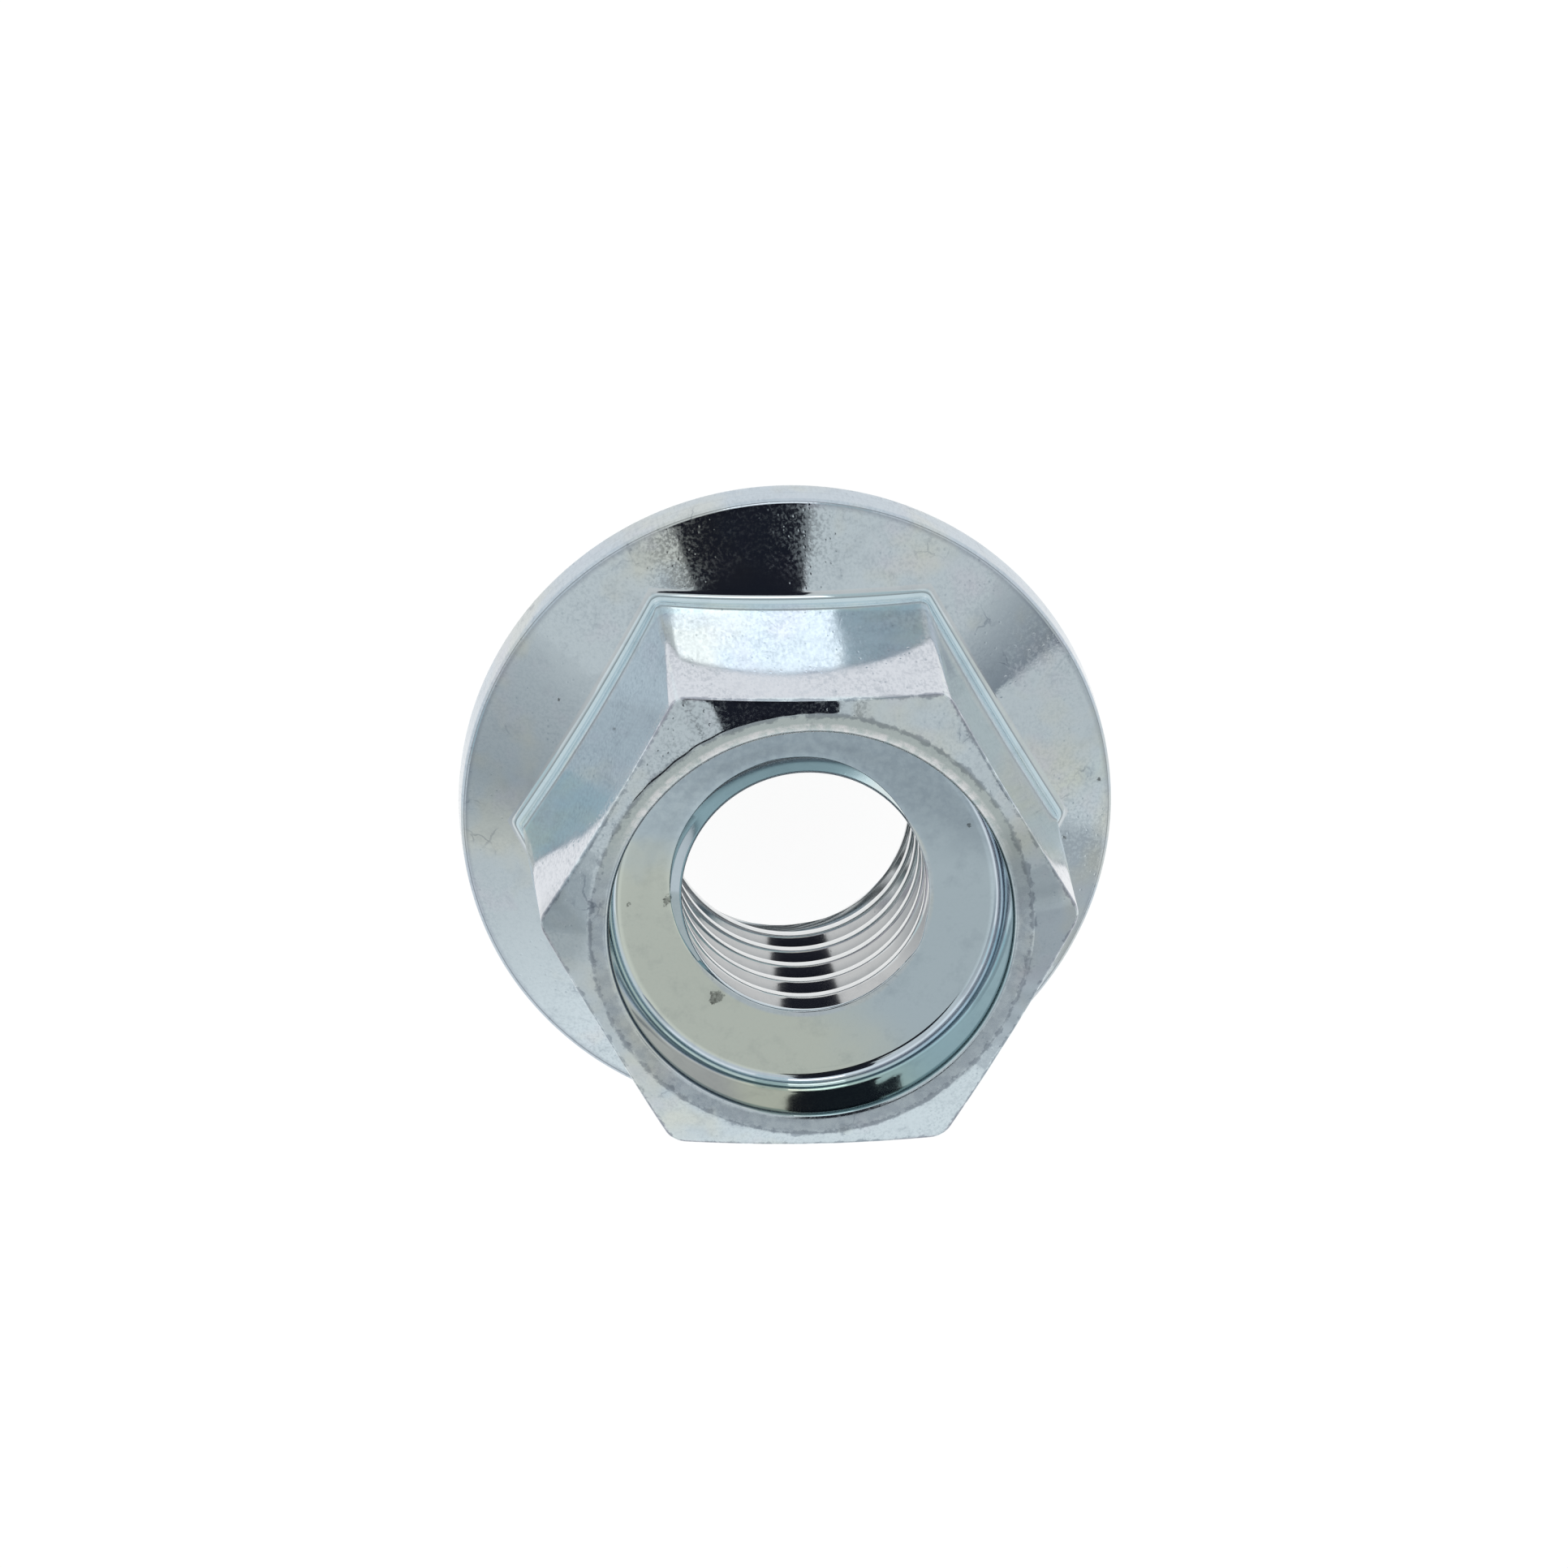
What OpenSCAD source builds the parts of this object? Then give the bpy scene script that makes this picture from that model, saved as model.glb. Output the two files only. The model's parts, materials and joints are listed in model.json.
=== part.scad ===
// Hexagon nut with a conical round flange and a round recess in its free end.
// Millimetres. The origin is the centre of the bearing face, +Z runs along the
// bore towards the free end of the hexagon.

/* [Overall] */
// Height from the bearing face to the free end
height = 11; // [9.5:0.1:14]
// Width across the flats of the hexagon
across_flats = 13; // [12:0.1:16]
// How far the flange stands out past the sharp corners of the hexagon
flange_lip = 1.6; // [1.3:0.1:4]

/* [Flange] */
// Height of the flange at its outer edge
rim_h = 1.45; // [1:0.05:2.2]
// Radius of the two rounded edges of the rim
rim_round = 0.25; // [0.1:0.05:0.4]
// Slope of the cone on top of the flange, in degrees
cone_angle = 26; // [18:1:30]
// Radius of the fillet between the flats and the flange
foot_r = 0.5; // [0.3:0.05:0.7]

/* [Hexagon] */
// How far the corners of the hexagon are rounded back from sharp
corner_cut = 0.05; // [0.05:0.01:0.3]
// Step from the flats in to the edge of the flat ring on the free end
ring_step = 0.4; // [0.2:0.05:0.6]
// Slope of the chamfer on the free end, in degrees
chamfer_angle = 23; // [15:1:32]

/* [Recess] */
// Thickness of the wall between the recess and the flats
recess_wall = 0.95; // [0.85:0.05:1.6]
// Depth of the recess at the foot of its wall
recess_depth = 2.3; // [1.5:0.1:4]
// Taper of the recess wall, in degrees
recess_draft = 3; // [0.5:0.5:6]
// Radius of the fillet between the wall and the floor of the recess
recess_fillet = 0.4; // [0.2:0.05:0.5]
// Slope of the recess floor down to the bore, in degrees
floor_slope = 3; // [1:0.5:8]
// Radius of the rounded edge at the mouth of the recess
mouth_round = 0.12; // [0.05:0.01:0.2]

/* [Bore] */
// Diameter of the bore, the inside diameter of an M8 thread
bore_d = 6.78; // [6.65:0.01:6.91]
// Width of the bevel where the bore meets the recess floor
bore_bevel = 0.12; // [0.05:0.01:0.3]
// Depth and width of the 45 degree countersink in the bearing face
countersink = 1.4; // [0.4:0.1:1.8]

/* [Hidden] */
$fn = 96;
flat_r = across_flats / 2;
corner_r = flat_r / cos(30) - corner_cut;
rim_r = flat_r / cos(30) + flange_lip;
bore_r = bore_d / 2;
sink_r = bore_r + countersink;
// How far a hidden end runs past the face that covers it
over = 1;
// How far the fillet surface dips under the faces it runs into
bury = 0.02;
// Half the angle that a fillet spans round the axis, which ends it at the rounded corner
foot_span = 29.5;

// Points on an arc about a centre, from one angle to another
function arc(c, r, a0, a1, n) = [for (i = [0 : n])
    [c[0] + r * cos(a0 + (a1 - a0) * i / n), c[1] + r * sin(a0 + (a1 - a0) * i / n)]];

// Height of the flange cone at a radius
function cone_z(r) = rim_h + (rim_r - r) * tan(cone_angle);

// Centre of the rounded edge between the rim and the cone
rim_top_c = [rim_r - rim_round, rim_h - rim_round * tan((90 - cone_angle) / 2)];

// Fillet at the foot of the flats: a ball rolls along the flat on the cone.
// Its path bends down towards the corners and is held to one circle per flat.
foot_x = flat_r + foot_r;
foot_half = foot_x * tan(30);
foot_top = cone_z(foot_x) + foot_r / cos(cone_angle);
foot_drop = tan(cone_angle) * (sqrt(foot_x * foot_x + foot_half * foot_half) - foot_x);
foot_path_r = (foot_half * foot_half + foot_drop * foot_drop) / (2 * foot_drop);

// Recess: radius of the mouth, then of the wall level with the fillet's centre
mouth_r = flat_r - recess_wall;
wall_foot_r = mouth_r - (recess_depth - mouth_round - recess_fillet) * tan(recess_draft);
mouth_c = [mouth_r + mouth_round / cos(recess_draft), height - mouth_round];
fillet_c = [wall_foot_r - recess_fillet / cos(recess_draft), height - recess_depth + recess_fillet];
// Recess floor: its outer end on the fillet and its inner end on the bevel
floor_r = fillet_c[0] + recess_fillet * sin(floor_slope);
floor_z = fillet_c[1] - recess_fillet * cos(floor_slope);
lip_r = bore_r + bore_bevel;
lip_z = floor_z - (floor_r - lip_r) * tan(floor_slope);

// Flange: rim with rounded edges and the cone that rises to the hexagon
module flange() {
    inner_r = flat_r - over;
    rotate_extrude()
        polygon(concat(
            [[0, 0]],
            arc([rim_r - rim_round, rim_round], rim_round, -90, 0, 4),
            arc(rim_top_c, rim_round, 0, 90 - cone_angle, 4),
            [[inner_r, cone_z(inner_r)], [0, cone_z(inner_r)]]
        ));
}

// Turned envelope that rounds the corners and cuts the chamfer on the free end
module hex_envelope() {
    ring_r = flat_r - ring_step;
    rotate_extrude()
        polygon([
            [0, rim_h],
            [corner_r, rim_h],
            [corner_r, height - (corner_r - ring_r) * tan(chamfer_angle)],
            [ring_r, height],
            [0, height]
        ]);
}

// Hexagon with one flat facing +Y
module hexagon() {
    intersection() {
        cylinder(r = flat_r / cos(30), h = height + over, $fn = 6);
        hex_envelope();
    }
}

// Fillet bar at the foot of the flat that faces +X, cut off square to the turn at both ends
module foot_bar() {
    reach = flat_r + foot_r * (1 - sin(cone_angle));
    tip = reach + over;
    difference() {
        intersection() {
            translate([flat_r - over, 0, foot_top - foot_path_r])
                rotate([0, 90, 0])
                    cylinder(r = foot_path_r, h = reach - flat_r + over);
            translate([0, 0, rim_h])
                linear_extrude(height = foot_top - rim_h + over)
                    polygon([[0, 0], [tip, -tip * tan(foot_span)], [tip, tip * tan(foot_span)]]);
        }
        translate([foot_x - bury, 0, foot_top - bury - foot_path_r])
            rotate([0, 90, 0])
                rotate_extrude()
                    translate([foot_path_r, 0])
                        circle(r = foot_r, $fn = 48);
    }
}

// Every second fillet bar, from the first or the second flat on
module foot_bars(first) {
    for (k = [first : 2 : 5])
        rotate([0, 0, 30 + 60 * k])
            foot_bar();
}

// Bore, countersink, recess and its edges as one turned cutter
module hollow() {
    rotate_extrude()
        polygon(concat(
            [[0, -over], [sink_r + over, -over], [bore_r, countersink]],
            [[bore_r, lip_z - bore_bevel], [lip_r, lip_z]],
            arc(fillet_c, recess_fillet, floor_slope - 90, -recess_draft, 6),
            arc(mouth_c, mouth_round, 180 - recess_draft, 90, 3),
            [[mouth_c[0], height + over], [0, height + over]]
        ));
}

module flange_nut() {
    color([0.72, 0.76, 0.78])
        difference() {
            union() {
                union() {
                    hexagon();
                    foot_bars(0);
                }
                union() {
                    flange();
                    foot_bars(1);
                }
            }
            hollow();
        }
}

flange_nut();
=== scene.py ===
"""Zinc plated flange nut, standing flange down on a pale floor.

The nut is one closed mesh. Its section is worked out for every column round the
axis at once: out over the bearing face, up the rim, the cone and the hexagon, into
the recess and down the thread. Sizes are millimetres and degrees unless a comment
says otherwise, and are turned into metres where they go into an object.
"""
import json
import math

import bmesh
import bpy
import numpy as np
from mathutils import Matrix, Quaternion, Vector, noise


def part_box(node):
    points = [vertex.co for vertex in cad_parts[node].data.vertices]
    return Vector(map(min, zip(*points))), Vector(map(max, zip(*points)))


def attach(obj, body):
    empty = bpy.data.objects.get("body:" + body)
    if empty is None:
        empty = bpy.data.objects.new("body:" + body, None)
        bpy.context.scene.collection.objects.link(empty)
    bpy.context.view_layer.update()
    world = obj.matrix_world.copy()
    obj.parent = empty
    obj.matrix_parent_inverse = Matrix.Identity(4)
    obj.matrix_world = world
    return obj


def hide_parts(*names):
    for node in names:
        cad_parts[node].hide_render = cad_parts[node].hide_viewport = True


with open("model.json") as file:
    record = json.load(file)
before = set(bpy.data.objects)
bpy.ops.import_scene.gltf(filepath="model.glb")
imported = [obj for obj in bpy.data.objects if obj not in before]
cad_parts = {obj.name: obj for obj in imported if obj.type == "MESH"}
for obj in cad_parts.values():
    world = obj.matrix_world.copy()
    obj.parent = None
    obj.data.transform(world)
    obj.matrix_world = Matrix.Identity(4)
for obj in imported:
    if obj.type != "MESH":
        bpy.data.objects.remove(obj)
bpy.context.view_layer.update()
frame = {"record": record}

MM = 0.001
NODE = "flange_nut"
MOUNTS = {mount["name"]: mount for mount in frame["record"]["mounts"]}
LOW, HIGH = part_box(NODE)

# Sizes of the nut. Height and rim radius come from the frame and most others repeat its
# sizes, but the hexagon's corners, the chamfer, the ring and the mouth are rounder than there.
HEIGHT = (HIGH.z - LOW.z) / MM
RIM_R = min(HIGH.x, HIGH.y, -LOW.x, -LOW.y) / MM
FLAT_R = 6.5
RIM_H = 1.45
RIM_ROUND = 0.25
CONE_SLOPE = math.tan(math.radians(26))
FOOT_ROUND = 0.5
FOOT_CORNER_ROUND = 0.25
TOP_CORNER_ROUND = 0.65
EDGE_ROUND = 0.12
RING_R = 6.1
RING_ROUND = 0.35
CHAMFER_SLOPE = math.tan(math.radians(23))
MOUTH_R = 5.556
MOUTH_ROUND = 0.22
WALL_FOOT_ROUND = 0.4
FLOOR_R = 5.437
FLOOR_Z = 8.719
FLOOR_SLOPE = math.tan(math.radians(3))
SINK_DEPTH = 1.4
SINK_ROUND = 0.06

# Thread: right-hand M8 x 1.25, with one crest pinned at a known place
PITCH = 1.25
CREST_R = MOUNTS["thread"]["dims"]["r_mm"]
CREST_HALF = 0.156
FLANK_SLOPE = math.tan(math.radians(60))
ROOT_DEPTH = 0.72
CREST_SOFT = 0.07
ROOT_SOFT = 0.3
CREST_Z = 8.593
CREST_ANGLE = 281.75
HOLE_BEVEL = 0.05
# Height of the middle of the rounded bevel, as a share of the bevel
ROUND_SHARE = 0.71
# Burr that leans in over the first turn on one side of the hole's edge
BURR_R = 3.43
BURR_START = -25
BURR_END = 52
BURR_SOFT = (25, 70)
BURR_THICK = 0.1
SINK_R = CREST_R + SINK_DEPTH

# Camera: its angle round the axis seen from above, its tilt from straight up, its roll,
# its lens, the place it looks at, and how far it sees in metres
CAMERA_ANGLE = 101.747
CAMERA_TILT = 19.965
CAMERA_ROLL = 167.993
CAMERA_LENS = 441.682
CAMERA_DISTANCE = 532.591
CAMERA_AIM = (-0.342, 1.988, 5.0)
SENSOR_WIDTH = 36
CAMERA_REACH = 10

# Stage, with its width and distances in metres. The floor's matt grey takes the shadow,
# and its glow brings it up to white.
FLOOR_WIDTH = 4
FLOOR_MATT = 0.17
FLOOR_GLOW = 0.92
CARD_DISTANCE = 0.7
CARD_GREY = (0.45, 0.46, 0.48)
LAMP_DISTANCE = 0.8
WARM_WHITE = (1.0, 0.95, 0.92)
# How far from straight up the low arcs start and end
ARC_TILTS = (57, 74)

# Colours of the plated surface
BLUE = (0.65, 0.75, 0.80)
BEIGE = (0.72, 0.77, 0.72)
LILAC = (0.70, 0.735, 0.81)
GREEN = (0.65, 0.74, 0.73)
FLAT_TONE = (0.61, 0.645, 0.70)
FOOT_TONE = (0.69, 0.755, 0.785)
FLOOR_BLUE = (0.60, 0.725, 0.79)
FLOOR_BEIGE = (0.715, 0.785, 0.71)
# Painted shade on the +y side of the recess floor
FLOOR_PAINTED_SHADE = (0.46, 0.565, 0.63)
FOOT_BLUE = (0.66, 0.76, 0.84)
WALL_TEAL = (0.55, 0.71, 0.73)
WALL_LILAC = (0.58, 0.56, 0.62)
WALL_BEIGE = (0.74, 0.73, 0.68)
THREAD_TONE = (0.77, 0.785, 0.79)
# Painted shade at the top of the thread, reaching further down on the +y side
LIP_PAINTED_SHADE = (0.48, 0.565, 0.62)
# Painted highlight on the mouth's rounded edge, on the +y side
PAINTED_LIP_HIGHLIGHT = (0.92, 0.94, 0.95)
# Shades that darken the film, each where its own mask is 1. The crease, root, upper floor and line
# shades are painted shade.
RING_SHADE = (0.72, 0.73, 0.76)
BLOOM_SHADE = (0.78, 0.79, 0.81)
EDGE_SHADE = (0.62, 0.63, 0.66)
SCRATCH_SHADE = (0.72, 0.73, 0.76)
PIT_SHADE = (0.60, 0.64, 0.68)
SPECK_SHADE = (0.78, 0.80, 0.82)
HAZE_SHADE = (0.76, 0.77, 0.77)
PAINTED_CREASE_SHADE = (0.72, 0.81, 0.84)
UPPER_FLOOR_PAINTED_SHADE = (0.86, 0.87, 0.89)
PAINTED_ROOT_SHADE = (0.62, 0.64, 0.66)
PAINTED_LINE_SHADE = (0.38, 0.48, 0.51)
RIM_SHADE = (0.68, 0.68, 0.72)
STAIN_SHADE = (0.22, 0.22, 0.22)
# The grain is drawn out along the nut's axis by this scale
DRAWN_OUT = (1, 1, 0.35)
# Soft grey hazes: place and radius
HAZES = [
    ((-6.9, -0.3, 10.4), 1.3),
    ((5.9, 1.6, 11.0), 1.7),
]
# Dark pits and stains: place and radius
STAINS = [
    ((-4.91, -0.15, 8.69), 0.06),
    ((-3.8, -0.05, 8.63), 0.14),
    ((-2.45, -2.91, 8.6), 0.2),
    ((-1.07, -5.15, 8.85), 0.06),
    ((-1.18, -5.4, 9.3), 0.06),
    ((4.48, 2.03, 8.69), 0.04),
    ((-1.86, -2.69, 8.6), 0.04),
    ((8.72, 0.78, 1.62), 0.04),
    ((7.74, -0.72, 2.1), 0.08),
    ((-6.44, 3.6, 2.29), 0.04),
]


def section_columns():
    """Angles of the columns round the axis, closer together at the corners."""
    corner_width = 2.5
    corner_columns = 7
    flat_columns = 31
    at_corner = np.linspace(0, corner_width, corner_columns)
    on_flat = np.linspace(corner_width, 30, flat_columns)[1:]
    half = np.concatenate([at_corner, on_flat])
    sector = np.concatenate([half, 60 - half[-2:0:-1]])
    turns = [sector + 60 * k for k in range(6)]
    return np.concatenate(turns + [[360.0]])


def hexagon_radius(angle, corner_round):
    """Distance from the axis to the side of the hexagon, with its corners rounded."""
    off = np.abs((angle + 30) % 60 - 30)
    off = np.radians(off)
    thirty = math.radians(30)
    centre = (FLAT_R - corner_round) / math.cos(thirty)
    touch = math.atan2(corner_round * math.sin(thirty), centre + corner_round * math.cos(thirty))
    side = FLAT_R / np.cos(thirty - off)
    inside = np.maximum(corner_round ** 2 - (centre * np.sin(off)) ** 2, 0)
    return np.where(off < touch, centre * np.cos(off) + np.sqrt(inside), side)


def soft_min(a, b, width):
    """The smaller of two values, with the change from one to the other rounded."""
    near = np.maximum(width - np.abs(a - b), 0)
    return np.minimum(a, b) - near ** 2 / (4 * width)


def thread_radius(angle, z):
    """Radius of the thread's surface at an angle and a height."""
    turn = (z - CREST_Z) / PITCH - (angle - CREST_ANGLE) / 360
    from_crest = np.abs((turn + 0.5) % 1 - 0.5) * PITCH
    rise = (from_crest - CREST_HALF) * FLANK_SLOPE
    rise = -soft_min(-rise, 0, CREST_SOFT)
    return CREST_R + soft_min(rise, ROOT_DEPTH, ROOT_SOFT)


def floor_height(r):
    return FLOOR_Z - (FLOOR_R - r) * FLOOR_SLOPE


def unit(v):
    return v / np.linalg.norm(v, axis=1, keepdims=True)


def rounded(before, corner, after, radius, steps):
    """Rows of points on the arc that rounds a corner of the section."""
    back = unit(before - corner)
    ahead = unit(after - corner)
    half = 0.5 * np.arccos(np.clip((back * ahead).sum(1), -1, 1))[:, None]
    centre = corner + unit(back + ahead) * radius / np.sin(half)
    start = corner + back * radius / np.tan(half) - centre
    end = corner + ahead * radius / np.tan(half) - centre
    turn = math.pi - 2 * half
    shares = np.linspace(0, 1, steps + 1)
    return [centre + (np.sin((1 - t) * turn) * start + np.sin(t * turn) * end) / np.sin(turn)
            for t in shares]


def ring_radius(angle):
    """Outer edge of the flat ring, which wanders a little."""
    broad = 0.05
    broad_waves = 3.5
    fine = 0.03
    fine_waves = 14
    places = [Vector((math.cos(a), math.sin(a), 0)) for a in np.radians(angle)]
    wander = [broad * noise.noise(broad_waves * place) + fine * noise.noise(fine_waves * place)
              for place in places]
    return RING_R + np.array(wander)


def outer_rows(angle):
    """Rows from the countersink's edge over flange, hexagon and recess to the bore."""
    foot = hexagon_radius(angle, FOOT_CORNER_ROUND)
    side = hexagon_radius(angle, TOP_CORNER_ROUND)
    ring = ring_radius(angle)
    level = np.ones_like(angle)

    def point(r, z):
        return np.column_stack([r * level, z * level])

    mid_r = FLOOR_R - 1.5
    mid_floor = point(mid_r, floor_height(mid_r))
    # Each corner of the section: its place, its radius, the steps of its arc and
    # the number of plain rows between it and the next
    corners = [
        (point(SINK_R, 0), SINK_ROUND, 2, 5),
        (point(RIM_R, 0), RIM_ROUND, 6, 3),
        (point(RIM_R, RIM_H), RIM_ROUND, 7, 15),
        (point(foot, RIM_H + (RIM_R - foot) * CONE_SLOPE), FOOT_ROUND, 8, 14),
        (point(side, HEIGHT - (side - ring) * CHAMFER_SLOPE), EDGE_ROUND, 5, 7),
        (point(ring, HEIGHT), RING_ROUND, 4, 2),
        (point(MOUTH_R, HEIGHT), MOUTH_ROUND, 7, 8),
        (point(FLOOR_R, FLOOR_Z), WALL_FOOT_ROUND, 8, 0),
    ]
    places = [point(SINK_R - 1, 1)] + [c[0] for c in corners] + [mid_floor]
    rows = []
    gap = 0
    for i, (place, radius, steps, plain) in enumerate(corners):
        arc = rounded(places[i], place, places[i + 2], radius, steps)
        if rows:
            last = rows[-1]
            rows += [last + (arc[0] - last) * k / (gap + 1) for k in range(1, gap + 1)]
        rows += arc
        gap = plain
    return rows


def burr_share(angle):
    """1 where the burr stands in full and 0 away from it, with soft ends."""
    turned = (angle + 180) % 360 - 180
    rise = np.clip((turned - BURR_START) / BURR_SOFT[0] + 0.5, 0, 1)
    fall = np.clip((BURR_END - turned) / BURR_SOFT[1] + 0.5, 0, 1)
    both = np.minimum(rise, fall)
    return both * both * (3 - 2 * both)


def hole_rows(angle):
    """Rows over the recess floor and the hole's edge, and the height where the thread starts."""
    share = burr_share(angle)
    top = floor_height(CREST_R) * np.ones_like(angle)
    # The thread's radius and height at its top depend on each other, and settle in a few rounds
    for _ in range(4):
        hole_r = thread_radius(angle, top)
        top = floor_height(hole_r) - HOLE_BEVEL - BURR_THICK * share
    hole_r = thread_radius(angle, top)
    edge_r = hole_r + (np.minimum(hole_r, BURR_R) - hole_r) * share
    edge_z = floor_height(edge_r) - HOLE_BEVEL
    outer_end = FLOOR_R - WALL_FOOT_ROUND
    rows = []
    for part in np.linspace(0, 1, 10)[1:]:
        r = outer_end + (edge_r + HOLE_BEVEL - outer_end) * part
        rows.append(np.column_stack([r, floor_height(r)]))
    mid_r = edge_r + (1 - ROUND_SHARE) * HOLE_BEVEL
    mid_z = edge_z + ROUND_SHARE * HOLE_BEVEL
    rows.append(np.column_stack([mid_r, mid_z]))
    rows.append(np.column_stack([edge_r, edge_z]))
    rows.append(np.column_stack([hole_r, top]))
    return rows, top


def thread_rows(angle):
    """Rows from the recess floor over the hole's edge and down the thread's helix."""
    edge, top = hole_rows(angle)
    # Places across one turn, as distances from the crest: crest, flank and root
    half_turn = [0.13, 0.165, 0.215, 0.35, 0.48, 0.555]
    across = [-s for s in reversed(half_turn)] + [0] + half_turn + [PITCH / 2]
    below_root = 0.1
    bottom = SINK_R - CREST_R - ROOT_DEPTH - below_root
    highest = int(math.ceil((HEIGHT - bottom) / PITCH)) + 1
    starts = sorted((k * PITCH + s for k in range(-2, highest) for s in across), reverse=True)
    climb = PITCH * angle / 360
    base = CREST_Z - PITCH * CREST_ANGLE / 360
    lowest_turn = base - PITCH * math.ceil((base - bottom) / PITCH)
    rows = []
    for start in starts:
        z = lowest_turn + start + climb
        if z.min() > top.max() or z.max() < bottom:
            continue
        z = np.clip(z, bottom, top)
        r = np.maximum(thread_radius(angle, z), SINK_R - z)
        rows.append(np.column_stack([r, z]))
    last_r = np.maximum(thread_radius(angle, bottom + 0 * angle), SINK_R - bottom)
    last = np.column_stack([last_r, bottom + 0 * angle])
    return edge + rows + [last]


def nut_mesh():
    """The nut as one closed mesh, in metres."""
    weld = 0.0015 * MM
    angle = section_columns()
    rows = outer_rows(angle) + thread_rows(angle)
    section = np.array(rows)
    around = np.radians(angle)[None, :]
    points = np.stack([
        section[:, :, 0] * np.cos(around),
        section[:, :, 0] * np.sin(around),
        section[:, :, 1] + 0 * around,
    ], axis=2)
    row_count, column_count = points.shape[:2]
    index = np.arange(row_count * column_count).reshape(row_count, column_count)
    above = np.roll(index, -1, axis=0)
    quads = np.stack([index[:, :-1], index[:, 1:], above[:, 1:], above[:, :-1]], axis=2)
    mesh = bpy.data.meshes.new("nut")
    mesh.from_pydata((points.reshape(-1, 3) * MM).tolist(), [], quads.reshape(-1, 4).tolist())
    bm = bmesh.new()
    bm.from_mesh(mesh)
    bmesh.ops.remove_doubles(bm, verts=bm.verts, dist=weld)
    bm.normal_update()
    forge_waves(bm)
    bm.to_mesh(mesh)
    bm.free()
    return mesh


def forge_waves(bm):
    """Moves the surface in by uneven amounts, as on a forged and plated part."""
    coarse = 0.006
    coarse_size = 2.6 * MM
    fine = 0.0016
    fine_size = 0.9 * MM
    # Keeps the waves within the nut's true size
    inward = 0.0055
    # The waves fade out towards the bearing face, and are weak in the bore
    fade_height = 0.3
    bore_share = 0.15
    bore_zone_r = 4.4
    bore_zone_top = 9
    for vert in bm.verts:
        r = math.hypot(vert.co.x, vert.co.y) / MM
        z = vert.co.z / MM
        amount = min(z / fade_height, 1)
        if r < bore_zone_r and z < bore_zone_top:
            amount = bore_share
        wave = coarse * noise.noise(vert.co / coarse_size) + fine * noise.noise(vert.co / fine_size)
        vert.co += vert.normal * (wave - inward) * amount * MM


def weigh_normals(mesh):
    """Sets each point's normal from its faces by their area, so that wide faces stay flat."""
    face_count = len(mesh.polygons)
    normals = np.empty(face_count * 3)
    areas = np.empty(face_count)
    mesh.polygons.foreach_get("normal", normals)
    mesh.polygons.foreach_get("area", areas)
    weighted = normals.reshape(-1, 3) * areas[:, None]
    corner_points = np.empty(len(mesh.loops), int)
    sizes = np.empty(face_count, int)
    mesh.loops.foreach_get("vertex_index", corner_points)
    mesh.polygons.foreach_get("loop_total", sizes)
    total = np.zeros((len(mesh.vertices), 3))
    np.add.at(total, corner_points, np.repeat(weighted, sizes, axis=0))
    mesh.polygons.foreach_set("use_smooth", [True] * face_count)
    mesh.normals_split_custom_set_from_vertices(unit(total).tolist())


def put(tree, kind, inputs=None, **settings):
    """A new node with its settings, and its inputs set or linked."""
    node = tree.nodes.new(kind)
    for name, value in settings.items():
        setattr(node, name, value)
    for key, value in (inputs or {}).items():
        if isinstance(value, bpy.types.NodeSocket):
            tree.links.new(value, node.inputs[key])
        else:
            node.inputs[key].default_value = value
    return node


def new_material(name):
    """A material with an empty node tree."""
    material = bpy.data.materials.new(name)
    material.use_nodes = True
    material.node_tree.nodes.clear()
    return material


def ramp(tree, value, stops):
    """A colour ramp through stops of (place, grey or colour)."""
    node = put(tree, "ShaderNodeValToRGB", {"Fac": value})
    points = node.color_ramp.elements
    while len(points) < len(stops):
        points.new(0.5)
    for point, (place, colour) in zip(points, stops):
        point.position = place
        shade = (colour, colour, colour) if isinstance(colour, (int, float)) else colour
        point.color = (*shade, 1)
    return node.outputs["Color"]


def spots(tree, where, size, detail=3.0, rough=0.6):
    """Noise whose features are about size millimetres across, from 0 to 1."""
    node = put(tree, "ShaderNodeTexNoise",
               {"Vector": where, "Scale": 1 / (size * MM), "Detail": detail, "Roughness": rough})
    return node.outputs["Fac"]


def mixed(tree, share, a, b, blend="MIX"):
    """Colour a where share is 0, and a blended with b where it is 1."""
    node = put(tree, "ShaderNodeMix", data_type="RGBA", blend_type=blend)
    for socket, value in zip((node.inputs[0], node.inputs[6], node.inputs[7]), (share, a, b)):
        if isinstance(value, bpy.types.NodeSocket):
            tree.links.new(value, socket)
        elif isinstance(value, tuple):
            socket.default_value = (*value, 1)
        else:
            socket.default_value = value
    return node.outputs[2]


def number(tree, operation, a, b=0.0):
    """The result of a Math node on one or two numbers."""
    node = put(tree, "ShaderNodeMath", {0: a, 1: b}, operation=operation)
    return node.outputs[0]


def step(tree, value, low, high, low_out=0.0, high_out=1.0):
    """A smooth change from one number to another as a value goes from low to high."""
    node = put(tree, "ShaderNodeMapRange",
               {"Value": value, "From Min": low, "From Max": high,
                "To Min": low_out, "To Max": high_out},
               interpolation_type="SMOOTHSTEP")
    return node.outputs["Result"]


def band(tree, value, low, high, soft):
    """1 between low and high and 0 outside, with soft ends."""
    rise = step(tree, value, low - soft, low + soft)
    fall = step(tree, value, high - soft, high + soft, 1.0, 0.0)
    return number(tree, "MULTIPLY", rise, fall)


def times(tree, *values):
    """The product of all values."""
    result = values[0]
    for value in values[1:]:
        result = number(tree, "MULTIPLY", result, value)
    return result


def darkened(tree, colour, shade, share):
    """A colour multiplied by a shade where share is 1."""
    return mixed(tree, share, colour, shade, "MULTIPLY")


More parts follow.
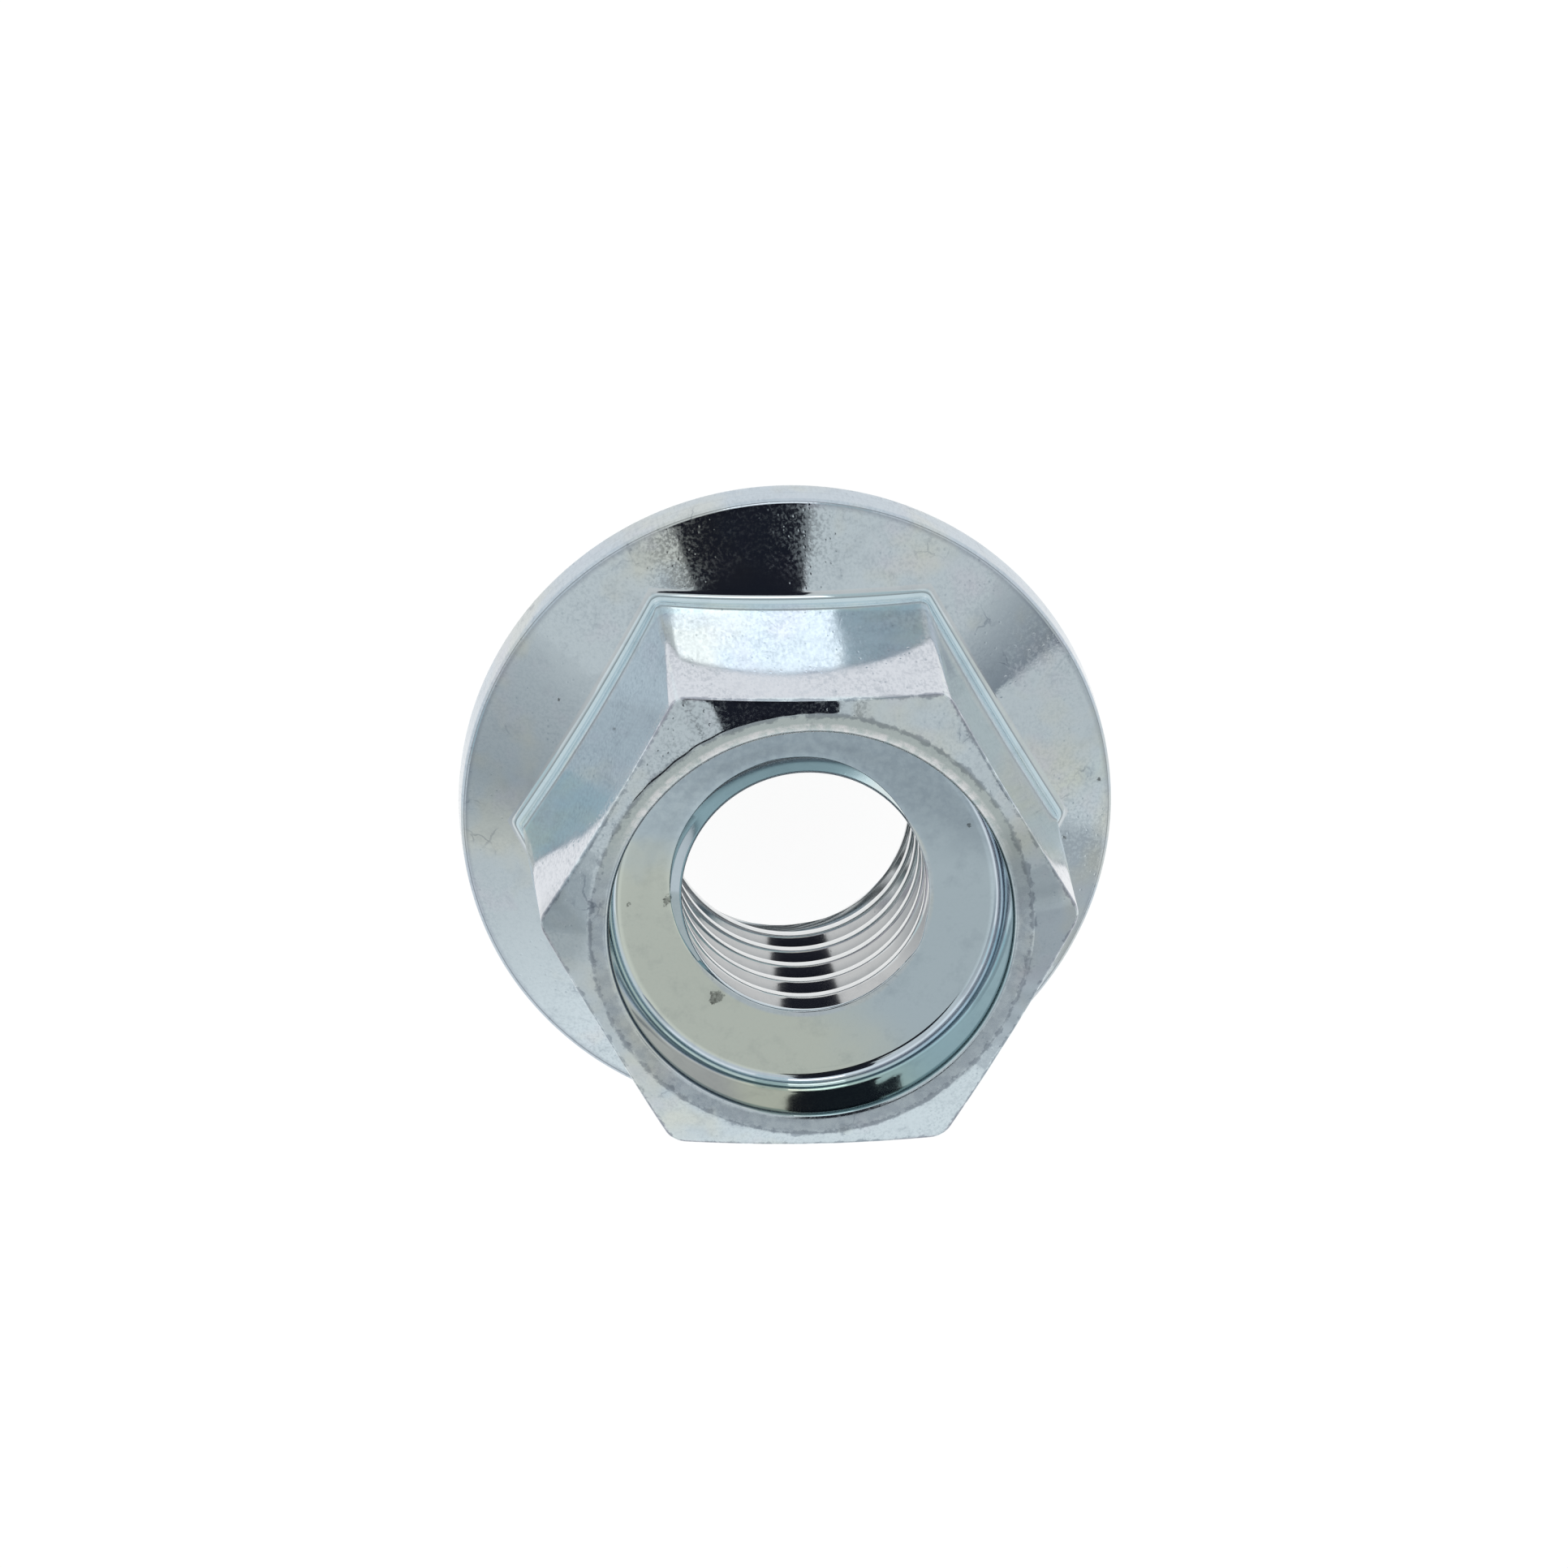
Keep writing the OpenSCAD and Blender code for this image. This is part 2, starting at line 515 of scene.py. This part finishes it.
def nut_places(tree, where):
    """Coordinates in millimetres: x, y, z, the radius, and the distance in from the flats."""
    in_mm = put(tree, "ShaderNodeVectorMath", {0: where, "Scale": 1 / MM}, operation="SCALE")
    axes = put(tree, "ShaderNodeSeparateXYZ", {"Vector": in_mm.outputs[0]}).outputs
    flat = put(tree, "ShaderNodeCombineXYZ", {"X": axes["X"], "Y": axes["Y"]}).outputs[0]
    radius = put(tree, "ShaderNodeVectorMath", {0: flat}, operation="LENGTH").outputs["Value"]
    furthest = None
    for angle in (30, 90, 150):
        facing = (math.cos(math.radians(angle)), math.sin(math.radians(angle)), 0)
        out = put(tree, "ShaderNodeVectorMath", {0: flat, 1: facing}, operation="DOT_PRODUCT")
        out = number(tree, "ABSOLUTE", out.outputs["Value"])
        furthest = out if furthest is None else number(tree, "MAXIMUM", furthest, out)
    inset = number(tree, "SUBTRACT", FLAT_R, furthest)
    return {"x": axes["X"], "y": axes["Y"], "z": axes["Z"], "radius": radius, "inset": inset}


def zones(tree, at):
    """Masks of the nut's surfaces, each 1 on its surface and 0 elsewhere."""
    z = at["z"]
    radius = at["radius"]
    floor_top = 8.86
    inside = step(tree, radius, 5.75, 5.6)
    past_bore = step(tree, radius, 3.5, 3.6)
    hexagon = times(tree, step(tree, at["inset"], 0.12, 0.04), step(tree, z, 3.3, 3.6))
    end = times(tree, step(tree, z, 10.6, 10.95), step(tree, radius, 5.6, 5.75))
    foot = times(tree, band(tree, at["inset"], -0.29, -0.01, 0.02), band(tree, z, 1.7, 3.2, 0.1))
    return {
        "floor": times(tree, band(tree, z, 8.5, floor_top, 0.06), past_bore, inside),
        "wall": times(tree, band(tree, z, floor_top, 10.96, 0.03), band(tree, radius, 5.0, 5.62, 0.05)),
        "flats": times(tree, hexagon, step(tree, z, 10.8, 10.5)),
        "ring": times(tree, end, step(tree, radius, 6.2, 6.02)),
        "rim": step(tree, radius, 8.85, 9.0),
        "foot": foot,
        # Where shade is painted, in the crease where the flats meet the cone
        "crease": times(tree, foot, step(tree, at["inset"], -0.2, -0.1)),
        "thread": times(tree, step(tree, radius, 4.25, 4.15), step(tree, z, 8.62, 8.56)),
    }


def film_tint(tree, where, at, zone):
    """Colour of the thin passive film: blue, with beige, lilac and teal where it differs, and painted
    shade on the +y side of the recess floor and at the top of the thread.
    """
    x, y, z = at["x"], at["y"], at["z"]
    beige_share = ramp(tree, spots(tree, where, 3.0), [(0.5, 0.0), (0.64, 0.85)])
    colour = mixed(tree, beige_share, BLUE, BEIGE)
    lilac_share = ramp(tree, spots(tree, where, 2.0), [(0.54, 0.0), (0.72, 0.7)])
    colour = mixed(tree, lilac_share, colour, LILAC)

    wander = number(tree, "MULTIPLY", spots(tree, where, 2.5), 3.0)
    slanted = number(tree, "ADD", x, number(tree, "MULTIPLY", y, 0.45))
    left = step(tree, number(tree, "ADD", slanted, wander), 3.0, -0.4)
    lower = step(tree, number(tree, "ADD", y, wander), 3.4, 2.0)
    # Painted shade on the +y side of the recess floor
    rightward = number(tree, "ADD", y, number(tree, "MULTIPLY", x, 0.3))
    upper = step(tree, number(tree, "ADD", rightward, wander), 3.0, 5.2)
    floor_colour = mixed(tree, times(tree, left, lower), FLOOR_BLUE, FLOOR_BEIGE)
    floor_colour = mixed(tree, upper, floor_colour, FLOOR_PAINTED_SHADE)
    colour = mixed(tree, zone["floor"], colour, floor_colour)

    wall_colour = mixed(tree, step(tree, x, -0.6, 0.6), WALL_BEIGE, WALL_TEAL)
    wall_colour = mixed(tree, step(tree, x, -1.4, -2.6), wall_colour, WALL_LILAC)
    colour = mixed(tree, zone["wall"], colour, wall_colour)
    recess_foot = band(tree, z, 8.74, 9.04, 0.02)
    recess_foot = times(tree, recess_foot, band(tree, at["radius"], 5.1, 5.5, 0.05))
    colour = mixed(tree, recess_foot, colour, FOOT_BLUE)

    colour = mixed(tree, zone["flats"], colour, FLAT_TONE)
    colour = mixed(tree, zone["foot"], colour, FOOT_TONE)

    upper_ring = times(tree, zone["ring"], step(tree, y, 0.5, 3.0))
    colour = mixed(tree, upper_ring, colour, GREEN)
    colour = mixed(tree, zone["thread"], colour, THREAD_TONE)
    # Painted shade at the top of the thread, reaching further down on the +y side
    shaded_side_lip = times(tree, step(tree, z, 7.2, 7.5), step(tree, y, 0.2, 1.2))
    lip_shade = number(tree, "MAXIMUM", step(tree, z, 8.2, 8.4), shaded_side_lip)
    lip_shade = times(tree, zone["thread"], lip_shade)
    return mixed(tree, lip_shade, colour, LIP_PAINTED_SHADE)


def ragged_lines(tree, where, at):
    """1 on the broken dark lines along the edges of chamfer and ring, and 0 elsewhere."""
    to_ring = number(tree, "ABSOLUTE", number(tree, "SUBTRACT", at["radius"], RING_R))
    lift = number(tree, "MULTIPLY", number(tree, "SUBTRACT", at["radius"], RING_R), CHAMFER_SLOPE)
    under = number(tree, "SUBTRACT", number(tree, "SUBTRACT", HEIGHT, lift), at["z"])
    to_edge = number(tree, "MAXIMUM", at["inset"], under)
    near = number(tree, "MINIMUM", to_edge, number(tree, "ADD", to_ring, 0.02))
    top = step(tree, at["z"], 9.6, 9.9)
    wander = number(tree, "MULTIPLY", spots(tree, where, 0.35, 6, 0.7), 0.6)
    line = step(tree, number(tree, "ADD", near, wander), 0.41, 0.33)
    return times(tree, line, top)


def squiggles(tree, where):
    """1 on short fine wandering lines, like scratches and cracks in the film."""
    shift = put(tree, "ShaderNodeTexNoise",
                {"Vector": where, "Scale": 1 / (0.7 * MM), "Detail": 4.0}).outputs["Color"]
    reach = (0.9 * MM, 0.9 * MM, 0.9 * MM)
    bent = put(tree, "ShaderNodeVectorMath", {0: shift, 1: reach, 2: where},
               operation="MULTIPLY_ADD").outputs[0]
    cells = put(tree, "ShaderNodeTexVoronoi", {"Vector": bent, "Scale": 1 / (1.1 * MM)},
                feature="DISTANCE_TO_EDGE").outputs["Distance"]
    line = step(tree, cells, 0.035, 0.01)
    return times(tree, line, step(tree, spots(tree, where, 1.6), 0.56, 0.7))


def dots(tree, where, size, share):
    """Small round pits, 1 in the middle of each, in about the given share of the cells."""
    cells = put(tree, "ShaderNodeTexVoronoi", {"Vector": where, "Scale": 1 / (size * MM)}).outputs
    chosen = put(tree, "ShaderNodeSeparateColor", {"Color": cells["Color"]}).outputs[0]
    chosen = step(tree, chosen, 1 - share, 1 - share + 0.02)
    return times(tree, chosen, step(tree, cells["Distance"], 0.32, 0.1))


def patches(tree, where, places, ragged, outer, inner):
    """1 in the middle of ragged round patches and 0 away from them.

    The functions outer and inner give where a patch of a given size starts and is full."""
    total = None
    for place, size in places:
        offset = put(tree, "ShaderNodeVectorMath",
                     {0: where, 1: tuple(c * MM for c in place)}, operation="DISTANCE")
        reach = number(tree, "ADD", offset.outputs["Value"], ragged)
        share = step(tree, reach, outer(size) * MM, inner(size) * MM)
        total = share if total is None else number(tree, "MAXIMUM", total, share)
    return total


def hazes(tree, where):
    """1 in the middle of the soft hazes and 0 away from them."""
    ragged = number(tree, "MULTIPLY", spots(tree, where, 0.8, 5, 0.7), 1.6 * MM)
    return patches(tree, where, HAZES, ragged,
                   outer=lambda size: size + 0.9, inner=lambda size: 0.5 * size + 0.7)


def stains(tree, where):
    """1 at the dark pits and stains, each with a ragged outline, and 0 elsewhere."""
    ragged = number(tree, "MULTIPLY", spots(tree, where, 0.2, 5, 0.7), 0.5 * MM)
    total = patches(tree, where, STAINS, ragged,
                    outer=lambda size: size + 0.27, inner=lambda size: size + 0.22)
    return times(tree, total, step(tree, spots(tree, where, 0.1), 0.25, 0.7, 1.0, 0.5))


def surface_marks(tree, where, at, zone):
    """Masks of the pits, specks and stains, of the surfaces that carry many of them, and of the painted
    highlight on the mouth's edge.
    """
    drawn = put(tree, "ShaderNodeVectorMath", {0: where, 1: DRAWN_OUT},
                operation="MULTIPLY").outputs[0]
    calm = number(tree, "MAXIMUM", zone["floor"], zone["thread"])
    calm = number(tree, "MAXIMUM", calm, zone["foot"])
    calm = number(tree, "MAXIMUM", calm, zone["wall"])
    mottle = ramp(tree, spots(tree, where, 0.28, 5, 0.65), [(0.4, 0.0), (0.6, 1.0)])
    lower = step(tree, at["y"], 3.5, 0.0)
    # Painted highlight on the mouth's rounded edge, on the +y side
    pale_lip = times(tree, band(tree, at["radius"], 5.4, 5.85, 0.04), step(tree, at["z"], 10.5, 10.7))
    return {
        "drawn": drawn,
        "stain": stains(tree, where),
        "pits": dots(tree, drawn, 0.14, 0.2),
        "specks": ramp(tree, spots(tree, drawn, 0.085, 2, 0.55), [(0.44, 0.0), (0.62, 1.0)]),
        "busy": step(tree, calm, 0.0, 1.0, 1.0, 0.15),
        "mottle": mottle,
        "ring_mottle": times(tree, zone["ring"], lower, step(tree, mottle, 0.0, 1.0, 0.45, 1.0)),
        "pale_lip": times(tree, pale_lip, step(tree, at["y"], 1.5, 3.5)),
    }


def painted_recess_lines(tree, at):
    """1 on the painted dark lines: a painted dark reflection on the mouth of the recess, all round but
    the +y side, and painted shade at the foot of its wall.
    """
    z = at["z"]
    radius = at["radius"]
    mouth = times(tree, step(tree, z, 10.62, 10.76), band(tree, radius, 5.4, 5.62, 0.02))
    mouth = times(tree, mouth, step(tree, at["y"], 3.6, 1.6))
    foot = times(tree, band(tree, z, 9.02, 9.17, 0.03), band(tree, radius, 5.2, 5.5, 0.03))
    return number(tree, "MAXIMUM", mouth, foot)


def zinc_colour(tree, where, at, zone, marks):
    """The film's tint with everything on it that is darker or paler: marks in the film, and painted
    shade and a painted highlight.
    """
    z = at["z"]
    busy = marks["busy"]
    colour = film_tint(tree, where, at, zone)
    colour = darkened(tree, colour, RING_SHADE, marks["ring_mottle"])
    bloom = ramp(tree, spots(tree, where, 0.8, 7, 0.7), [(0.52, 0.0), (0.72, 0.55)])
    colour = darkened(tree, colour, BLOOM_SHADE, bloom)
    colour = darkened(tree, colour, EDGE_SHADE, ragged_lines(tree, where, at))
    colour = darkened(tree, colour, SCRATCH_SHADE, times(tree, squiggles(tree, where), busy))
    uneven = step(tree, spots(tree, where, 2.2), 0.4, 0.6, 0.35, 1.0)
    uneven = times(tree, uneven, busy, step(tree, zone["flats"], 0.0, 1.0, 0.5, 1.0))
    colour = darkened(tree, colour, PIT_SHADE, times(tree, marks["pits"], uneven))
    colour = darkened(tree, colour, SPECK_SHADE, times(tree, marks["specks"], uneven))
    colour = darkened(tree, colour, HAZE_SHADE, hazes(tree, where))
    # Painted shade in the crease where the flats meet the cone
    colour = darkened(tree, colour, PAINTED_CREASE_SHADE, zone["crease"])
    # Painted shade, mottled, on the +y side of the recess floor
    painted_floor_shade = times(tree, zone["floor"], step(tree, at["y"], 1.0, 3.0), marks["mottle"])
    colour = darkened(tree, colour, UPPER_FLOOR_PAINTED_SHADE, painted_floor_shade)
    # Painted shade in the thread's roots, deeper down in the bore
    root = times(tree, zone["thread"], step(tree, at["radius"], 3.47, 3.8), step(tree, z, 7.8, 7.2))
    colour = darkened(tree, colour, PAINTED_ROOT_SHADE, root)
    # Painted highlight, mottled, on the mouth's rounded edge
    colour = mixed(tree, times(tree, marks["pale_lip"], marks["mottle"]), colour, PAINTED_LIP_HIGHLIGHT)
    # Painted dark reflection on the mouth, and painted shade at the foot of the recess wall
    colour = darkened(tree, colour, PAINTED_LINE_SHADE, painted_recess_lines(tree, at))
    rim_share = number(tree, "MAXIMUM", band(tree, z, 0.74, 0.86, 0.06), 0.8)
    colour = darkened(tree, colour, RIM_SHADE, times(tree, zone["rim"], rim_share))
    return darkened(tree, colour, STAIN_SHADE, marks["stain"])


def zinc_roughness(tree, where, at, zone, marks):
    """Roughness: low all over, and higher on specks, stains and the ring."""
    rough = step(tree, spots(tree, where, 0.8), 0.3, 0.75, 0.045, 0.075)
    outward = number(tree, "ADD", at["radius"], spots(tree, where, 1.0))
    hazy = step(tree, outward, 7.5, 8.2, 0.03, 0.11)
    hazy = number(tree, "MAXIMUM", hazy, step(tree, at["z"], 9.8, 10.0, 0.0, 0.1))
    rough = number(tree, "ADD", rough, times(tree, marks["specks"], marks["busy"], hazy))
    rougher = [(marks["pale_lip"], 0.2), (marks["ring_mottle"], 0.2), (marks["stain"], 0.3),
               (zone["thread"], 0.03)]
    for mask, amount in rougher:
        rough = number(tree, "ADD", rough, number(tree, "MULTIPLY", mask, amount))
    return rough


def zinc_relief(tree, marks):
    """Normals of the fine grain and the pits in it."""
    grain = number(tree, "MULTIPLY", spots(tree, marks["drawn"], 0.12, 3, 0.6), 0.45)
    height = times(tree, number(tree, "SUBTRACT", grain, marks["pits"]), marks["busy"])
    depth = 0.0013 * MM
    bump = put(tree, "ShaderNodeBump", {"Height": height, "Strength": 1.0, "Distance": depth})
    return bump.outputs["Normal"]


def zinc():
    """Bright zinc plate over a forged surface."""
    material = new_material("zinc")
    tree = material.node_tree
    where = put(tree, "ShaderNodeTexCoord").outputs["Object"]
    at = nut_places(tree, where)
    zone = zones(tree, at)
    marks = surface_marks(tree, where, at, zone)
    shader = put(tree, "ShaderNodeBsdfPrincipled", {
        "Base Color": zinc_colour(tree, where, at, zone, marks),
        "Roughness": zinc_roughness(tree, where, at, zone, marks),
        "Metallic": 1.0,
        "Normal": zinc_relief(tree, marks),
    })
    put(tree, "ShaderNodeOutputMaterial", {"Surface": shader.outputs[0]})
    return material


def make_nut():
    """The nut, which stands for the frame's node."""
    mesh = nut_mesh()
    mesh.materials.append(zinc())
    nut = bpy.data.objects.new("nut", mesh)
    bpy.context.scene.collection.objects.link(nut)
    weigh_normals(mesh)
    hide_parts(NODE)
    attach(nut, "root")


def direction(angle, tilt):
    """Unit vector at an angle from the camera's, tilted from straight up."""
    turn = math.radians(CAMERA_ANGLE + angle)
    lean = math.radians(tilt)
    out = math.sin(lean)
    return Vector((out * math.cos(turn), out * math.sin(turn), math.cos(lean)))


def square_sheet(name, width):
    """A flat square sheet round the origin."""
    mesh = bpy.data.meshes.new(name)
    half = width / 2
    corners = [(-half, -half, 0), (half, -half, 0), (half, half, 0), (-half, half, 0)]
    mesh.from_pydata(corners, [], [(0, 1, 2, 3)])
    sheet = bpy.data.objects.new(name, mesh)
    bpy.context.scene.collection.objects.link(sheet)
    return sheet


def make_floor():
    """White sheet under the nut. It glows to the camera and in reflections, and takes shadow."""
    floor = square_sheet("floor", FLOOR_WIDTH)
    material = new_material("white_floor")
    tree = material.node_tree
    path = put(tree, "ShaderNodeLightPath").outputs
    seen = number(tree, "MAXIMUM", path["Is Camera Ray"], path["Is Glossy Ray"])
    seen = number(tree, "MAXIMUM", seen, path["Is Transmission Ray"])
    grey = (FLOOR_MATT, FLOOR_MATT, FLOOR_MATT, 1)
    matt = put(tree, "ShaderNodeBsdfDiffuse", {"Color": grey})
    glow = put(tree, "ShaderNodeEmission",
               {"Color": (1, 1, 1, 1), "Strength": number(tree, "MULTIPLY", seen, FLOOR_GLOW)})
    both = put(tree, "ShaderNodeAddShader", {0: matt.outputs[0], 1: glow.outputs[0]})
    put(tree, "ShaderNodeOutputMaterial", {"Surface": both.outputs[0]})
    floor.data.materials.append(material)


def make_card(name, columns):
    """A far card that shows only in reflections.

    Each column is two points and a shade. A point is given by how far its direction
    leans to the camera's left and how far it leans towards the camera."""
    ahead = direction(0, 90)
    left = direction(90, 90)
    points = []
    for start, end, shade in columns:
        for across, forward in (start, end):
            up = math.sqrt(1 - across ** 2 - forward ** 2)
            way = across * left + forward * ahead + Vector((0, 0, up))
            points.append(CARD_DISTANCE * way)
    faces = [(k, k + 1, k + 3, k + 2) for k in range(0, len(points) - 2, 2)]
    mesh = bpy.data.meshes.new(name)
    mesh.from_pydata(points, [], faces)
    shades = mesh.color_attributes.new("shade", "FLOAT_COLOR", "POINT")
    for k, column in enumerate(columns):
        for point in (2 * k, 2 * k + 1):
            shades.data[point].color = (*column[2], 1)
    card = bpy.data.objects.new(name, mesh)
    bpy.context.scene.collection.objects.link(card)
    material = new_material(name)
    tree = material.node_tree
    shade = put(tree, "ShaderNodeAttribute", attribute_name="shade")
    glow = put(tree, "ShaderNodeEmission", {"Color": shade.outputs["Color"], "Strength": 1.0})
    put(tree, "ShaderNodeOutputMaterial", {"Surface": glow.outputs[0]})
    mesh.materials.append(material)
    card.visible_camera = False
    card.visible_diffuse = False
    card.visible_shadow = False


def leaning(angle, tilt):
    """How far a direction leans to the camera's left and towards the camera."""
    turn = math.radians(angle)
    lean = math.sin(math.radians(tilt))
    return (lean * math.sin(turn), lean * math.cos(turn))


def make_front_card():
    """The dark shape that the nut reflects from above and in front."""
    dark = (0.012, 0.013, 0.02)
    # Rows of the shape: how far each leans forward, its right and its left end
    rows = [
        (0.80, -0.28, 0.185), (0.62, -0.28, 0.185), (0.58, -0.23, 0.15), (0.53, -0.225, 0.14),
        (0.522, -0.225, 0.165), (0.51, -0.235, 0.215), (0.48, -0.25, 0.25), (0.455, -0.25, 0.20),
        (0.43, -0.255, 0.15), (0.40, -0.26, 0.16), (0.375, -0.25, 0.18), (0.35, -0.22, 0.28),
        (0.31, -0.14, 0.36), (0.26, -0.05, 0.38), (0.18, 0.10, 0.40), (0.12, 0.21, 0.40),
        (0.05, 0.36, 0.39),
    ]
    make_card("camera_shape", [((right, row), (left, row), dark) for row, right, left in rows])


def make_side_cards():
    """Dim gaps at both sides."""
    bright = (0.66, 0.66, 0.66)
    dim = (0.25, 0.27, 0.30)
    make_card("right_gap", [
        ((-0.66, 0.19), (-0.82, 0.22), bright),
        ((-0.67, 0.09), (-0.83, 0.10), CARD_GREY),
        ((-0.68, -0.05), (-0.83, -0.05), dim),
    ])
    make_card("left_gap", [
        ((0.54, 0.36), (0.80, 0.46), bright),
        ((0.58, 0.20), (0.83, 0.27), (0.52, 0.53, 0.54)),
        ((0.63, 0.06), (0.85, 0.06), (0.45, 0.46, 0.47)),
        ((0.66, -0.06), (0.85, -0.07), (0.40, 0.42, 0.44)),
        ((0.66, -0.22), (0.85, -0.26), (0.6, 0.61, 0.62)),
    ])


def make_low_arcs():
    """Dim arcs low in the room, which the flats show by way of the cone."""
    # Each arc's name, its two ends as angles from the camera's, and its shade
    arcs = [
        ("left_arc", (38, 60), (0.85, 0.88, 0.89)),
        ("left_arc_middle", (60, 74), (0.75, 0.78, 0.79)),
        ("left_arc_end", (74, 88), (0.575, 0.69, 0.72)),
        ("right_arc", (-76, -120), (0.70, 0.715, 0.69)),
        ("front_arc", (-22.5, -36), (0.577, 0.655, 0.672)),
    ]
    pieces = 5
    high, low = ARC_TILTS
    for name, (start, end), shade in arcs:
        turns = [start + (end - start) * k / pieces for k in range(pieces + 1)]
        make_card(name, [(leaning(a, high), leaning(a, low), shade) for a in turns])


def make_low_card():
    """A grey patch low on the right, on the far side of the nut."""
    make_card("low_right", [
        ((-0.69, -0.33), (-0.60, -0.33), (0.60, 0.61, 0.62)),
        ((-0.70, -0.45), (-0.52, -0.46), CARD_GREY),
        ((-0.68, -0.58), (-0.45, -0.62), CARD_GREY),
        ((-0.52, -0.80), (-0.38, -0.80), (0.6, 0.61, 0.63)),
    ])


def make_world():
    """A pale dome, brightest a little above the horizon and dimmer overhead and below."""
    world = bpy.data.worlds.new("dome")
    bpy.context.scene.world = world
    world.use_nodes = True
    tree = world.node_tree
    tree.nodes.clear()
    where = put(tree, "ShaderNodeTexCoord").outputs["Generated"]
    up = put(tree, "ShaderNodeSeparateXYZ", {"Vector": where}).outputs["Z"]
    shade = ramp(tree, up, [(0.0, 0.5), (0.12, 0.5), (0.22, 0.64), (0.32, 0.88), (0.41, 0.92),
                            (0.47, 0.80), (0.52, 0.73), (0.58, 0.66), (0.70, 0.66), (0.80, 0.70),
                            (0.88, 0.66), (0.94, 0.56)])
    sky = put(tree, "ShaderNodeBackground", {"Color": shade, "Strength": 1.0})
    put(tree, "ShaderNodeOutputWorld", {"Surface": sky.outputs[0]})


def make_lamp(name, angle, tilt, width, height, strength):
    """A soft box whose face is as bright as the strength given, where 1 is white.

    Width and height are shares of its distance."""
    lamp = bpy.data.lights.new(name, "AREA")
    lamp.shape = "RECTANGLE"
    lamp.size = width * LAMP_DISTANCE
    lamp.size_y = height * LAMP_DISTANCE
    lamp.color = WARM_WHITE
    lamp.energy = strength * math.pi * lamp.size * lamp.size_y
    box = bpy.data.objects.new(name, lamp)
    away = direction(angle, tilt)
    box.location = away * LAMP_DISTANCE
    box.rotation_euler = away.to_track_quat("Z", "Y").to_euler()
    bpy.context.scene.collection.objects.link(box)


def make_camera():
    """The camera at the photo's viewing angle."""
    camera = bpy.data.cameras.new("camera")
    camera.sensor_width = SENSOR_WIDTH
    camera.lens = CAMERA_LENS
    camera.clip_end = CAMERA_REACH
    holder = bpy.data.objects.new("camera", camera)
    back = direction(0, CAMERA_TILT)
    holder.location = Vector(CAMERA_AIM) * MM + back * CAMERA_DISTANCE * MM
    turn = back.to_track_quat("Z", "Y") @ Quaternion((0, 0, 1), math.radians(CAMERA_ROLL))
    holder.rotation_euler = turn.to_euler()
    bpy.context.scene.collection.objects.link(holder)
    bpy.context.scene.camera = holder


make_nut()
make_floor()
make_world()
make_front_card()
make_side_cards()
make_low_arcs()
make_low_card()
make_lamp("front_box", angle=-11, tilt=70, width=0.395, height=0.16, strength=1.18)
make_camera()
bpy.context.scene.view_settings.view_transform = "Standard"
